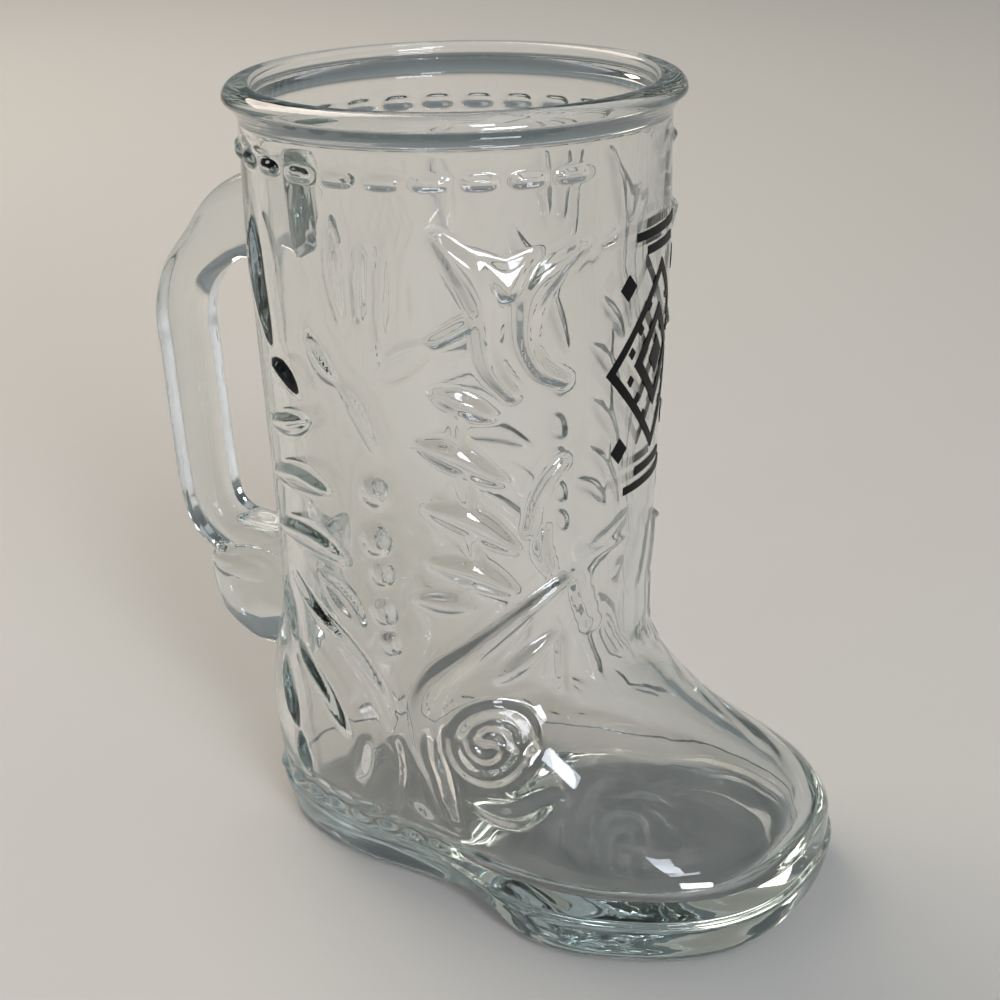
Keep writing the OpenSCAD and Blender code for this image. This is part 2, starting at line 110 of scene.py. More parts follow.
# smooth curve through a table: cubic between the points, with the harmonic mean of the slopes at each
def curve(table, t):
    place, value = np.array(table, float).T
    rate = np.diff(value) / np.diff(place)
    product = rate[:-1] * rate[1:]
    total = np.where(product > 0, rate[:-1] + rate[1:], 1)
    inner = np.where(product > 0, 2 * product / total, 0)
    slope = np.concatenate([rate[:1], inner, rate[-1:]])
    t = np.clip(t, place[0], place[-1])
    i = np.clip(np.searchsorted(place, t, side="left") - 1, 0, len(rate) - 1)
    gap = place[i + 1] - place[i]
    s = (t - place[i]) / gap
    rise = (1 + 2 * s) * (1 - s) ** 2 * value[i] + s * s * (3 - 2 * s) * value[i + 1]
    return rise + gap * s * (1 - s) * ((1 - s) * slope[i] - s * slope[i + 1])


def ease(t):
    s = np.clip(t, 0, 1)
    return s * s * (3 - 2 * s)


def signedPower(v, e):
    return np.sign(v) * np.abs(v) ** e


def legOut(z):
    span = boot["neckZ"] - boot["ankleH"]
    return boot["ankleR"] + (boot["legR"] - boot["ankleR"]) * curve(legShares, (z - boot["ankleH"]) / span)


def footLine(table, size, z):
    return boot["ankleR"] + (size - boot["ankleR"]) * curve(table, z / boot["ankleH"])


def footMid(z):
    return boot["midReach"] * curve(midShares, z / boot["ankleH"])


def footPower(z):
    return 2 + (boot["toePower"] - 2) * curve(bluntShares, z / boot["ankleH"])


# half width of the foot: heel width swelling to ball width along x, drawn in at the waist
def halfWidth(x, z):
    share = z / boot["ankleH"]
    heel = footLine(heelShares, boot["heelHalf"], z)
    ball = footLine(flareShares, boot["ballHalf"], z) - boot["vampIn"] * curve(vampShares, share)
    waist = np.exp(-(((x - boot["waistX"]) / boot["waistLen"]) ** 2))
    swell = ease((x - boot["heelX"]) / (boot["ballX"] - boot["heelX"]))
    return heel + (ball - heel) * swell - boot["waistIn"] * curve(waistShares, share) * waist


# level section at angle a and height z, drawn in by inset: a circle on the leg, on the foot an oval
# whose front half is blunter than an ellipse
def section(a, z, inset):
    a, z, inset = np.broadcast_arrays(a, z, inset)
    c, s = np.cos(a), np.sin(a)
    low = np.minimum(z, boot["ankleH"])
    mid, front = footMid(low), footLine(frontShares, boot["toeReach"], low)
    back = -footLine(backShares, boot["heelReach"], low)
    e = np.where(c > 0, 2 / footPower(low), 1)
    reach = np.where(c > 0, front - mid, mid - back) - inset
    x = mid + reach * signedPower(c, e)
    y = (halfWidth(x, low) - inset) * signedPower(s, e)
    r = legOut(np.minimum(z, boot["neckZ"])) - inset
    onLeg = z >= boot["ankleH"]
    return np.where(onLeg, r * c, x), np.where(onLeg, r * s, y)


# half width of the whole boot where its side stands above x and z
def sideY(x, z):
    low = np.minimum(z, boot["ankleH"])
    mid, front = footMid(low), footLine(frontShares, boot["toeReach"], low)
    back = -footLine(backShares, boot["heelReach"], low)
    p = np.where(x > mid, footPower(low), 2)
    reach = np.where(x > mid, front - mid, mid - back)
    foot = halfWidth(x, low) * np.maximum(0, 1 - (np.abs(x - mid) / reach) ** p) ** (1 / p)
    leg = np.sqrt(np.maximum(0, legOut(z) ** 2 - x * x))
    return np.where(z >= boot["ankleH"], leg, foot)


# smooth path through a few points: each span is a cubic whose end slopes follow the points on both sides
def smoothPath(points, count):
    p = np.array(points, float)
    n = len(p) - 1
    t = np.linspace(0, n, count)
    i = np.minimum(t.astype(int), n - 1)
    s = (t - i)[:, None]
    slope = np.gradient(p, axis=0) if n > 1 else np.repeat(p[1:] - p[:1], 2, axis=0)
    rise = (1 + 2 * s) * (1 - s) ** 2 * p[i] + s * s * (3 - 2 * s) * p[i + 1]
    return rise + s * (1 - s) * ((1 - s) * slope[i] - s * slope[i + 1])


# raised ornament on the side of the boot, in mm from the leg's axis and above the table. Each line is a
# path and its half width: a blade, leaf or spoon tapers to its tips, the others have widths along the path
ornament = {
    "height": {"blade": 1.6, "leaf": 1.5, "spoon": 1.4, "wing": 1.6, "scroll": 1.9, "ribbon": 1.25,
               "cord": 1.0},
    "steps": 12,  # places worked out along a path, for each point given
    "curlSteps": 61,
    # tips of a tapering path: how far in they start, how blunt they are, and their share of the height
    "tip": {"start": 0.04, "power": 0.8, "height": 0.35},
    "blade": (
        # upright slender leaves
        (((-2.4, 137.0), (-1.9, 128.1), (-0.6, 117.4)), 1.7),
        (((4.2, 135.5), (3.7, 126.0), (3.2, 117.6)), 1.5),
        (((8.0, 135.0), (7.6, 124.6), (6.6, 113.0)), 1.5),
        (((-24.6, 133.0), (-23.4, 124.5), (-21.4, 110.5)), 2.4),
    ),
    "leaf": (
        # curved leaf in the middle of the side, and its fellow
        (((-9.6, 116.2), (-7.4, 112.1), (-5.2, 109.0), (-2.2, 106.8)), 2.2),
        (((-3.2, 107.6), (-0.4, 105.0), (1.2, 102.1), (3.2, 98.0), (4.9, 94.0)), 1.8),
        # ladder of slanting leaves, in front and behind
        (((15.4, 106.8), (20.0, 104.6), (24.2, 101.8)), 2.1),
        (((11.8, 97.0), (18.3, 94.4), (25.2, 89.2)), 2.7),
        (((13.0, 84.6), (20.0, 81.9), (26.6, 75.6)), 2.9),
        (((12.8, 74.2), (20.2, 71.7), (25.8, 67.4)), 2.6),
        (((10.0, 66.6), (15.2, 66.0), (19.6, 65.0)), 2.2),
        (((-21.5, 106.8), (-17.0, 105.8), (-13.4, 102.6)), 1.9),
        (((-24.0, 94.2), (-16.0, 96.4), (-10.6, 98.2)), 2.2),
        (((-25.0, 83.8), (-14.5, 86.0), (-7.0, 84.9)), 2.6),
        (((-25.0, 73.0), (-13.0, 74.4), (-3.8, 71.9)), 2.7),
        # leaf on the instep and lines beside the mark
        (((22.4, 49.1), (26.5, 53.0), (30.4, 57.7)), 2.0),
        (((30.2, 79.8), (29.4, 75.4), (30.6, 70.0)), 1.2),
        # plumes on the heel
        (((-20.4, 64.0), (-14.0, 59.7), (-5.7, 54.1), (-0.3, 47.8), (2.0, 42.0), (2.3, 37.0)), 2.3),
        (((-21.2, 48.4), (-15.5, 42.9), (-11.6, 37.6), (-8.2, 32.6)), 2.4),
        (((-24.7, 60.6), (-23.6, 55.0), (-22.8, 48.6)), 1.8),
        (((-28.1, 42.0), (-26.6, 35.0), (-25.3, 28.0)), 2.2),
        (((-24.3, 27.0), (-24.6, 22.0), (-24.9, 17.0)), 2.0),
        (((-3.6, 34.0), (-5.4, 28.0), (-7.4, 22.4)), 1.6),
        (((5.3, 21.8), (8.6, 20.2), (12.0, 18.2)), 1.5),
        (((19.8, 25.6), (28.9, 24.8), (36.0, 29.0)), 1.6),
    ),
    "spoon": (
        # leaf beside the tassel and the bud at the ankle
        (((15.8, 115.8), (10.4, 112.5), (5.0, 108.4)), 2.8),
        (((-10.6, 67.4), (-5.5, 63.5), (-0.9, 58.9)), 2.9),
    ),
    "wing": (
        # two wings that run down into long strands
        (((17.0, 135.0), (20.9, 129.6), (23.0, 125.3), (23.7, 121.1), (23.5, 116.6), (24.2, 111.3),
          (26.8, 105.8)), (0.8, 3.0, 3.2, 2.4, 2.1, 2.1, 1.0)),
        (((35.6, 131.6), (32.2, 127.7), (30.1, 123.8), (29.3, 119.6), (29.2, 115.0), (30.6, 110.2),
          (33.2, 107.4)), (0.8, 2.8, 2.9, 2.1, 1.8, 1.7, 0.9)),
    ),
    "ribbon": (
        # branch from the wing to the leaf beside it, and the side strand in front of the ladder
        (((22.6, 120.5), (19.6, 118.4), (15.8, 116.2)), (0.9, 1.2, 0.9)),
        (((32.4, 91.8), (30.3, 87.9), (29.0, 84.1), (28.0, 79.2)), (0.8, 1.1, 1.1, 0.8)),
    ),
    "scroll": (
        # broad scroll from the instep to the sole
        (((32.0, 68.4), (25.4, 61.8), (19.2, 55.8), (13.2, 50.0), (10.3, 43.6), (10.4, 35.6), (12.4, 29.5),
          (14.0, 24.4), (15.8, 18.8)), (1.0, 1.9, 2.4, 3.0, 3.3, 3.2, 2.7, 1.9, 0.9)),
    ),
    "cord": (
        # two lines on the instep, the stem of the ladder and a strand on the heel
        (((33.0, 68.6), (33.4, 63.5), (34.2, 56.4)), (0.9, 1.0, 0.7)),
        (((31.0, 55.8), (31.0, 46.2)), (0.8, 0.8)),
        (((18.6, 104.0), (19.3, 93.0), (20.0, 81.0), (20.2, 71.0), (16.4, 65.6)), (0.9, 0.9, 0.9, 0.9, 0.7)),
        (((-9.6, 13.6), (-2.3, 17.0), (2.1, 23.5), (3.6, 29.2), (3.4, 35.0)), (0.8, 1.5, 1.6, 1.3, 0.8)),
    ),
    "bead": (
        ((3.4, 86.9), 2.8), ((3.1, 77.3), 3.0), ((3.9, 70.8), 2.4), ((3.9, 63.0), 2.6), ((4.6, 56.5), 2.4),
    ),
    "beadRise": 0.3,  # a bead is a very short upright cord
    "curls": ({"centre": (22.2, 37.2), "from": 6.7, "to": 6.0, "turns": 1.0, "half": 1.5},
              {"centre": (22.0, 37.2), "from": 4.2, "to": 0.9, "turns": 1.4, "half": 0.9}),
    # sloping web between the wings
    "web": {"x": 26.9, "low": 124.6, "high": 133.4, "rise": 2.05, "half": 5.2, "stem": 0.9, "edge": 1.0,
            "notch": 129.6, "spread": 0.65, "foot": 6.0},
    "weltBeads": {"from": -36.0, "to": 10.0, "count": 8, "z": 12.2, "half": 1.7, "length": 4.8},
    "stitch": {"z": 144.2, "pitch": 12.0, "gap": 24.0, "length": 6.2, "half": 1.35, "height": 1.0},
    # unevenness that pressing leaves in the glass: height, lengths of its waves, and where it fades out
    "waver": {"height": 0.06, "x": 9.0, "y": 8.0, "z": 13.0, "bend": 1.3, "bendZ": 17.0, "nextX": 14.0,
              "nextZ": 11.0, "shift": 2.0, "topFade": 8.0, "soleFade": 4.0},
    "plain": {"turn": 0.14, "half": 0.6},  # even glass under the print, in radians round the leg
}
# powers that shape the cross sections, and how deep a spoon is hollowed
sections = {"blade": 4, "ribbon": 3, "spoon": 6, "hollow": 0.35, "cushion": 0.9}


# cross sections over the distance from the path, as a share u of the half width: a blade has steep sides, a
# spoon has a hollow inside a raised edge, a ribbon has round shoulders, and the others are cushions
def crossSection(kind, u):
    if kind == "spoon":
        bowl = sections["hollow"] + (1 - sections["hollow"]) * np.minimum(u, 1) ** 2
        return np.clip(1 - u ** sections["spoon"], 0, 1) * bowl
    if kind in ("blade", "ribbon"):
        return np.clip(1 - u ** sections[kind], 0, 1)
    return np.clip(1 - u * u, 0, 1) ** sections["cushion"]


# height of one raised path over points on the skin: nearest place along the path gives the width there
def ridgeHeight(points, kind, path, half, height):
    tapers = np.isscalar(half)
    line = np.column_stack([path[:, 0], -sideY(path[:, 0], path[:, 1]), path[:, 1]])
    reach = half if tapers else max(half)
    near = np.all((points > line.min(0) - reach) & (points < line.max(0) + reach), axis=1)
    q = points[near]
    step = np.diff(line, axis=0)
    away = q[:, None, :] - line[None, :-1]
    t = np.clip((away * step).sum(2) / (step * step).sum(1), 0, 1)
    gap = np.linalg.norm(away - t[:, :, None] * step, axis=2)
    best = gap.argmin(1)
    row = np.arange(len(q))
    along = (best + t[row, best]) / len(step)
    if tapers:
        tip = ornament["tip"]
        size = np.sin(np.pi * (tip["start"] + (1 - 2 * tip["start"]) * along)) ** tip["power"]
        wide, tall = half * size, height * (tip["height"] + (1 - tip["height"]) * size)
    else:
        wide, tall = np.interp(along, np.linspace(0, 1, len(half)), half), height
    lift = np.zeros(len(points))
    lift[near] = tall * crossSection(kind, gap[row, best] / wide)
    return lift


def curlPath(curl):
    t = np.linspace(0, 1, ornament["curlSteps"])
    turn = 2 * np.pi * curl["turns"] * t
    r = curl["from"] + (curl["to"] - curl["from"]) * t
    return np.array(curl["centre"]) + np.column_stack([r * np.cos(turn), r * np.sin(turn)])


# every raised shape on one side of the boot; the other side is its mirror image, and the highest one shows
def reliefHeight(points):
    side = np.column_stack([points[:, 0], -np.abs(points[:, 1]), points[:, 2]])
    tall, rise = ornament["height"], ornament["beadRise"]
    parts = [(kind, smoothPath(path, ornament["steps"] * len(path)), half, tall[kind])
             for kind in tall for path, half in ornament[kind]]
    parts += [("cord", np.array([place, place]) + ((0, -rise), (0, rise)), (half, half), tall["leaf"])
              for place, half in ornament["bead"]]
    parts += [("cord", curlPath(curl), (curl["half"], curl["half"]), tall["cord"])
              for curl in ornament["curls"]]
    welt = ornament["weltBeads"]
    spread = np.linspace(welt["from"], welt["to"], welt["count"])
    parts += [("leaf", np.array([[x - welt["length"] / 2, welt["z"]], [x + welt["length"] / 2, welt["z"]]]),
               welt["half"], tall["leaf"]) for x in spread]
    return np.max([ridgeHeight(side, *part) for part in parts] + [webHeight(side)], axis=0)


# web between the wings: a plane that leans back from its foot, wider toward its notched top
def webHeight(side):
    web = ornament["web"]
    t = (side[:, 2] - web["low"]) / (web["high"] - web["low"])
    opening = web["stem"] + (web["half"] - web["stem"]) * np.clip(t, 0, 1)
    across = ease((opening - np.abs(side[:, 0] - web["x"])) / web["edge"] + 0.5)
    top = web["notch"] + web["spread"] * np.abs(side[:, 0] - web["x"])
    under = ease((top - side[:, 2]) / web["edge"] + 0.5)
    foot = ease(t * web["foot"] + 1)
    return web["rise"] * np.clip(1 - t, 0, 1) * across * under * foot * (side[:, 1] < 0)


# ring of stitches: pills spaced by angle round the leg, none in front
def stitchHeight(points):
    stitch = ornament["stitch"]
    a = np.degrees(np.arctan2(points[:, 1], points[:, 0])) % 360
    r = np.hypot(points[:, 0], points[:, 1])
    first = stitch["gap"] + stitch["pitch"] / 2
    k = np.clip(np.round((a - first) / stitch["pitch"]), 0, (360 - 2 * first) / stitch["pitch"])
    off = np.radians(a - first - k * stitch["pitch"]) * r
    straight = stitch["length"] / 2 - stitch["half"]
    gap = np.hypot(np.maximum(0, np.abs(off) - straight), points[:, 2] - stitch["z"])
    return stitch["height"] * crossSection("cord", gap / stitch["half"])


# unevenness of pressed glass: a few long waves that cross each other
def waverHeight(points):
    x, y, z = points.T
    w = ornament["waver"]
    bent = np.sin(x / w["x"] + w["bend"] * np.sin(z / w["bendZ"]))
    after = np.sin(z / w["nextZ"] + x / w["nextX"] + w["shift"])
    return w["height"] * (bent * np.sin(y / w["y"] + z / w["z"]) + after)


# evens out one step of the grid, so that slanting edges don't show it
def soften(grid):
    across = (np.roll(grid, 1, axis=1) + 2 * grid + np.roll(grid, -1, axis=1)) / 4
    padded = np.pad(across, ((1, 1), (0, 0)), mode="edge")
    return (padded[:-2] + 2 * across + padded[2:]) / 4


# profile of the rim and of the sole's edge
edges = {"bead": 2.8, "lip": 1.3, "sole": 2.4, "step": 0.8}
# bands of rows in the skin: where each begins and ends, as a share, an angle or a gap in mm, and its rows
bands = {
    "under": (0.08, 0.97, 9),
    "edge": (0, 90, 7),
    "soleGap": 1.0,
    "soleRows": 6,
    "weltTurns": (30, 60, 90),
    "weltReach": 0.9,
    "weltPower": 0.5,
    "skinGap": 0.7,
    "stitchClear": 2.2,
    "stitchHalf": 1.85,
    "stitchRows": 12,
    "topClear": 2.4,
    "neckGap": 0.5,
    "topRows": 5,
    "rimFlare": (0.12, 0.92, 6),
    "flarePower": 1.5,
    "crown": (0, 90, 10),
    "lip": (98, 180, 7),
    "legOver": 3.0,
    "legGap": 2.0,
    "legRows": 28,
    "floorGap": 0.1,
    "ankleGap": 0.5,
    "footRows": (0, 1, 26),
    "footPower": 1.25,
    "floor": (0.85, 0.08, 6),
}


# Rows of the skin, each as height of the section, inset from it, real height and share of its size.
# Underside of the sole, from near its middle out to the edge
def underRows():
    return [(0.0, edges["sole"] - boot["welt"], 0.0, k) for k in np.linspace(*bands["under"])]


# round edge and side of the sole, then the step of the welt
def outerRows():
    edge, step, welt = edges["sole"], edges["step"], boot["welt"]
    rows = []
    for a in np.radians(np.linspace(*bands["edge"])):
        z = edge * (1 - math.cos(a))
        rows.append((z, edge * (1 - math.sin(a)) - welt, z, 1))
    side = np.linspace(edge + bands["soleGap"], boot["soleT"] - step, bands["soleRows"])
    rows += [(z, -welt, z, 1) for z in side]
    for a in np.radians(bands["weltTurns"]):
        z = boot["soleT"] - step + step * math.sin(a)
        rows.append((z, -welt * bands["weltReach"] * math.cos(a) ** bands["weltPower"], z, 1))
    return rows


# side of foot and leg up to the rim, with close rows where the stitches are
def skinRows():
    stitchZ = ornament["stitch"]["z"]
    low = np.linspace(boot["soleT"] + bands["skinGap"], stitchZ - bands["stitchClear"], glassGrid["up"])
    high = np.linspace(stitchZ - bands["stitchHalf"], stitchZ + bands["stitchHalf"], bands["stitchRows"])
    top = np.linspace(stitchZ + bands["topClear"], boot["neckZ"] - bands["neckGap"], bands["topRows"])
    return [(z, 0.0, z, 1) for z in np.concatenate([low, high, top])]


# rim: out under the bead, over the crown on a round arc, and in over the lip
def rimRows():
    beadR, lipR = edges["bead"], edges["lip"]
    neckZ, legR, rimR = boot["neckZ"], boot["legR"], boot["rimR"]
    inner, under = legR - boot["lipW"], boot["height"] - beadR
    rows = [(neckZ + (under - neckZ) * t, legR + (rimR - legR) * t ** bands["flarePower"])
            for t in np.linspace(*bands["rimFlare"])]
    rows += [(under + beadR * math.sin(a), rimR - beadR + beadR * math.cos(a))
             for a in np.radians(np.linspace(*bands["crown"]))]
    rows += [(boot["height"] - lipR + lipR * math.sin(a), inner + lipR + lipR * math.cos(a))
             for a in np.radians(np.linspace(*bands["lip"]))]
    return [(z, legR - r, z, 1) for z, r in rows]


# inside: plain taper down the leg, then the cavity of the foot with its rounded corner, and its floor
def innerRows():
    rows = []
    neckZ, ankleH, soleT, wall = boot["neckZ"], boot["ankleH"], boot["soleT"], boot["wall"]
    low, top = boot["ankleR"] - wall, boot["legR"] - boot["lipW"]
    for z in np.linspace(neckZ + bands["legOver"], ankleH + bands["legGap"], bands["legRows"]):
        r = min(low + (top - low) * (z - ankleH) / (neckZ - ankleH), top)
        rows.append((z, float(legOut(min(z, neckZ))) - r, z, 1))
    for s in np.linspace(*bands["footRows"]):
        z = soleT + bands["floorGap"] + (ankleH - bands["ankleGap"] - soleT) * (1 - s) ** bands["footPower"]
        t = min(1, (z - soleT) / boot["floorR"])
        inset = wall + boot["floorR"] * (1 - math.sqrt(1 - (1 - t) ** 2))
        rows.append((z + wall * (ankleH - z) / ankleH, inset, z, 1))
    last = rows[-1]
    return rows + [(*last[:3], k) for k in np.linspace(*bands["floor"])]


# rise of the sole's underside: a round arch in front of the heel
def archZ(x):
    t = (x - boot["breastX"]) / boot["archLen"]
    return boot["archRise"] * np.where((t > 0) & (t < 1), 4 * t * (1 - t), 0) ** boot["archPower"]


def meshFrom(name, verts, faces):
    mesh = bpy.data.meshes.new(name)
    mesh.from_pydata((verts * mm).tolist(), [], faces)
    mesh.validate()
    mesh.update()
    mesh.polygons.foreach_set("use_smooth", np.ones(len(mesh.polygons), bool))
    made = bpy.data.objects.new(name, mesh)
    scene.collection.objects.link(made)
    return made


# quads between rings of equal count, closed round, from the vertex number at start
def ringQuads(start, rings, around):
    j, i = np.meshgrid(np.arange(rings - 1), np.arange(around), indexing="ij")
    k = (i + 1) % around
    quads = np.stack([j * around + i, j * around + k, (j + 1) * around + k, (j + 1) * around + i], axis=2)
    return (start + quads.reshape(-1, 4)).tolist()


# fan from a ring onto a pole, below the ring or above it
def poleFan(start, around, pole, below):
    i = np.arange(around)
    k = (i + 1) % around
    first, second = (k, i) if below else (i, k)
    return np.column_stack([np.full(around, pole), start + first, start + second]).tolist()


# five-sided faces between a ring and one of twice its count
def doubledRing(single, double, around, below):
    k = np.arange(around)
    n = (k + 1) % around
    first, middle, last = double + 2 * k, double + 2 * k + 1, double + 2 * n
    if below:
        return np.column_stack([single + k, single + n, last, middle, first]).tolist()
    return np.column_stack([first, middle, last, single + n, single + k]).tolist()


# points round the boot are close together on its two sides, where the ornament is
glassGrid = {"around": 300, "up": 216, "plain": 0.45, "front": 20.0, "back": 145.0, "fade": 12.0,
             "fine": 7201}


def ringAngles():
    a = np.linspace(-np.pi, np.pi, glassGrid["fine"])
    away = np.degrees(np.abs(a))
    rise = ease((away - glassGrid["front"]) / glassGrid["fade"])
    fall = ease((away - glassGrid["back"]) / glassGrid["fade"])
    dense = glassGrid["plain"] + (1 - glassGrid["plain"]) * rise * (1 - fall)
    total = np.concatenate([[0], np.cumsum((dense[1:] + dense[:-1]) / 2)])
    share = np.linspace(0, total[-1], glassGrid["around"], endpoint=False)
    return np.interp(share, total, a)


# places of a block of rows: section at each row's height, shrunk to its share about the middle of the foot
def rowGrid(rows, a, onSole):
    zSection, inset, level, share = np.array(rows, float).T[:, :, None]
    x, y = section(a[None, :], zSection, inset)
    middle = boot["midReach"]
    x, y = middle + share * (x - middle), share * y
    z = np.broadcast_to(level, x.shape)
    if onSole:
        arch = archZ(x)
        z = arch + z * (boot["soleT"] - arch) / boot["soleT"]
    return np.stack([x, y, z], axis=2)


# one closed skin: underside, outside with its ornament, rim and inside
def makeBootGlass():
    a = ringAngles()
    half = a[::2]
    under = rowGrid(underRows(), half, True)
    edge = rowGrid(outerRows(), a, True)
    skin = rowGrid(skinRows(), a, False)
    inside = rowGrid(rimRows() + innerRows(), half, False)
    # outward normals from the skin's own slopes
    normal = np.cross(np.roll(skin, -1, axis=1) - np.roll(skin, 1, axis=1), np.gradient(skin, axis=0))
    normal /= np.linalg.norm(normal, axis=2, keepdims=True)
    flat, shape = skin.reshape(-1, 3), skin.shape[:2]
    lift = soften(np.maximum(reliefHeight(flat), stitchHeight(flat)).reshape(shape))
    waver, plain = ornament["waver"], ornament["plain"]
    turn = np.arctan2(flat[:, 1], flat[:, 0])
    underPrint = (np.abs(turn - plain["turn"]) < plain["half"]) & (flat[:, 2] > boot["ankleH"])
    wave = np.where(underPrint, 0, waverHeight(flat))
    wave = wave * ease((boot["neckZ"] - flat[:, 2]) / waver["topFade"])
    lift += soften(wave.reshape(shape)) * ease((skin[:, :, 2] - boot["soleT"]) / waver["soleFade"])
    skin += lift[:, :, None] * normal
    blocks = (under, np.concatenate([edge, skin]), inside)
    count, few = glassGrid["around"], glassGrid["around"] // 2
    starts = np.cumsum([0] + [len(b) * b.shape[1] for b in blocks])
    middle = boot["midReach"]
    poles = np.array([[middle, 0, float(archZ(np.array(middle)))], [middle, 0, inside[-1, 0, 2]]])
    verts = np.concatenate([b.reshape(-1, 3) for b in blocks] + [poles])
    faces = []
    for start, block in zip(starts, blocks):
        faces += ringQuads(start, len(block), block.shape[1])
    faces += poleFan(0, few, starts[3], True) + poleFan(starts[3] - few, few, starts[3] + 1, False)
    faces += doubledRing(starts[1] - few, starts[1], few, True)
    faces += doubledRing(starts[2], starts[2] - count, few, False)
    return meshFrom("boot_glass", verts, faces)


bootGlass = makeBootGlass()
print("boot glass:", len(bootGlass.data.polygons), "faces")

# handle: a rounded bar carried along its middle line, flared where it grows out of the leg
handle = {
    "gripX": 66.2,
    "thick": 10.0,
    "wide": gripHigh[1] - gripLow[1],
    "highZ": 127.0,
    "lowZ": 55.0,
    "flare": 9.0,
    "flareFrom": 2.0,
    "flareLength": 26.0,
    "fillet": 3.2,
    "filletLength": 1.6,
    "squareness": 4.0,
    "sink": 2.0,
    "along": 96,
    "around": 44,
}
# share of the grip's reach, share of the height between the roots
handleShares = (
    (0.755, 0.958), (0.866, 0.882), (0.961, 0.785), (1, 0.674), (0.991, 0.542), (0.976, 0.347),
    (0.958, 0.167), (0.931, 0.069), (0.861, 0.014), (0.755, 0),
)


# faces of a stack of rings with a pole at each end
def capped(rings, around):
    end = rings * around
    return (ringQuads(0, rings, around) + poleFan(0, around, end, True)
            + poleFan(end - around, around, end + 1, False))


# how far the back of the foot reaches at a height
def sideBack(z):
    return footLine(backShares, boot["heelReach"], min(z, boot["ankleH"]))


def makeHandle():
    shares = np.array(handleShares)
    x = -shares[:, 0] * handle["gripX"]
    z = handle["lowZ"] + shares[:, 1] * (handle["highZ"] - handle["lowZ"])
    start = (-float(legOut(handle["highZ"])) + handle["sink"], handle["highZ"])
    end = (-float(sideBack(handle["lowZ"])) + handle["sink"], handle["lowZ"])
    path = smoothPath([start, *zip(x, z), end], handle["along"])
    length = np.concatenate([[0], np.cumsum(np.linalg.norm(np.diff(path, axis=0), axis=1))])
    tangent = np.gradient(path, axis=0)
    tangent /= np.linalg.norm(tangent, axis=1, keepdims=True)
    tangent[0], tangent[-1] = (-1, 0), (1, 0)
    side = np.column_stack([-tangent[:, 1], tangent[:, 0]])
    # the flare dies out along the upper arm, and a small fillet spreads both ends over the glass
    flare = handle["flare"] * (1 - ease((length - handle["flareFrom"]) / handle["flareLength"]))
    upper, lower = (handle["fillet"] * np.exp(-((gap - handle["sink"]) / handle["filletLength"]).clip(0))
                    for gap in (length, length[-1] - length))
    fillet = upper + lower
    a = np.linspace(0, 2 * np.pi, handle["around"], endpoint=False)
    e = 2 / handle["squareness"]
    thick = (handle["thick"] + flare + fillet)[:, None] / 2 * signedPower(np.cos(a), e)
    wide = (handle["wide"] + fillet)[:, None] / 2 * signedPower(-np.sin(a), e)
    ring = path[:, None, :] + thick[:, :, None] * side[:, None, :]
    grid = np.stack([ring[:, :, 0], wide, ring[:, :, 1]], axis=2)
    poles = np.array([[path[0][0], 0, path[0][1]], [path[-1][0], 0, path[-1][1]]])
    verts = np.concatenate([grid.reshape(-1, 3), poles])
    return meshFrom("handle_bar", verts, capped(len(path), handle["around"]))


# spur: a thick disc whose rim and faces are cut into flats, like a stone, under a round collar. Each row of
# flats has its tilt from the rim, and the reach and height of a point that its planes pass through
spur = {"flats": 10, "crisp": 70, "radius": 15.0, "around": 120, "across": 41, "crown": 6.1,
        "rows": ((0.0, 15.0, 0.0), (38.0, 13.6, 2.6), (66.0, 9.0, 5.0))}
collar = {"place": (-51.0, 0.0, 49.4), "half": (11.2, 6.6, 4.4), "around": 56, "across": 25, "crisp": 2.6}
lastRing = 88.0  # degrees from the rim of such a stone to the last ring before its pole


# each flat is a plane at its distance from the centre. The distance to the skin along a direction is the
# smallest distance to any plane, taken as a power mean so that the edges between the flats are a little soft
def makeStone(name, centre, sizes, planes):
    around, across, crisp = sizes["around"], sizes["across"], sizes["crisp"]
    turn = np.linspace(0, 2 * np.pi, around, endpoint=False)[None, :]
    rise = np.radians(np.linspace(-lastRing, lastRing, across))[:, None]
    parts = np.cos(rise) * np.cos(turn), np.sin(rise), -np.cos(rise) * np.sin(turn)
    toward = np.stack(np.broadcast_arrays(*parts), axis=2)
    facing = np.maximum(0, toward @ planes.T)
    grid = centre + toward / ((facing ** crisp).sum(2) ** (1 / crisp))[:, :, None]
    crown = 1 / planes[:, 1].max()
    verts = np.concatenate([grid.reshape(-1, 3), centre + [(0, -crown, 0), (0, crown, 0)]])
    return meshFrom(name, verts, capped(across, around))


def makeSpur():
    planes = [np.array([(0, 1, 0), (0, -1, 0)]) / spur["crown"]]
    for row, (tilt, reach, height) in enumerate(spur["rows"]):
        f = 2 * np.pi * (np.arange(spur["flats"]) + row / 2) / spur["flats"]
        c, s = math.cos(math.radians(tilt)), math.sin(math.radians(tilt))
        for side in (1, -1):
            facet = np.column_stack([c * np.cos(f), side * s + 0 * f, -c * np.sin(f)])
            planes.append(facet / (reach * c + height * s))
    centre = np.array([spurLow[0] + spur["radius"], 0, spurLow[2] + spur["radius"]])
    return makeStone("spur_disc", centre, spur, np.concatenate(planes))


# six planes at a low power make the collar's round cushion
def makeCollar():
    sides = np.concatenate([np.eye(3), -np.eye(3)]) / np.array(collar["half"] * 2)[:, None]
    return makeStone("spur_collar", np.array(collar["place"]), collar, sides)


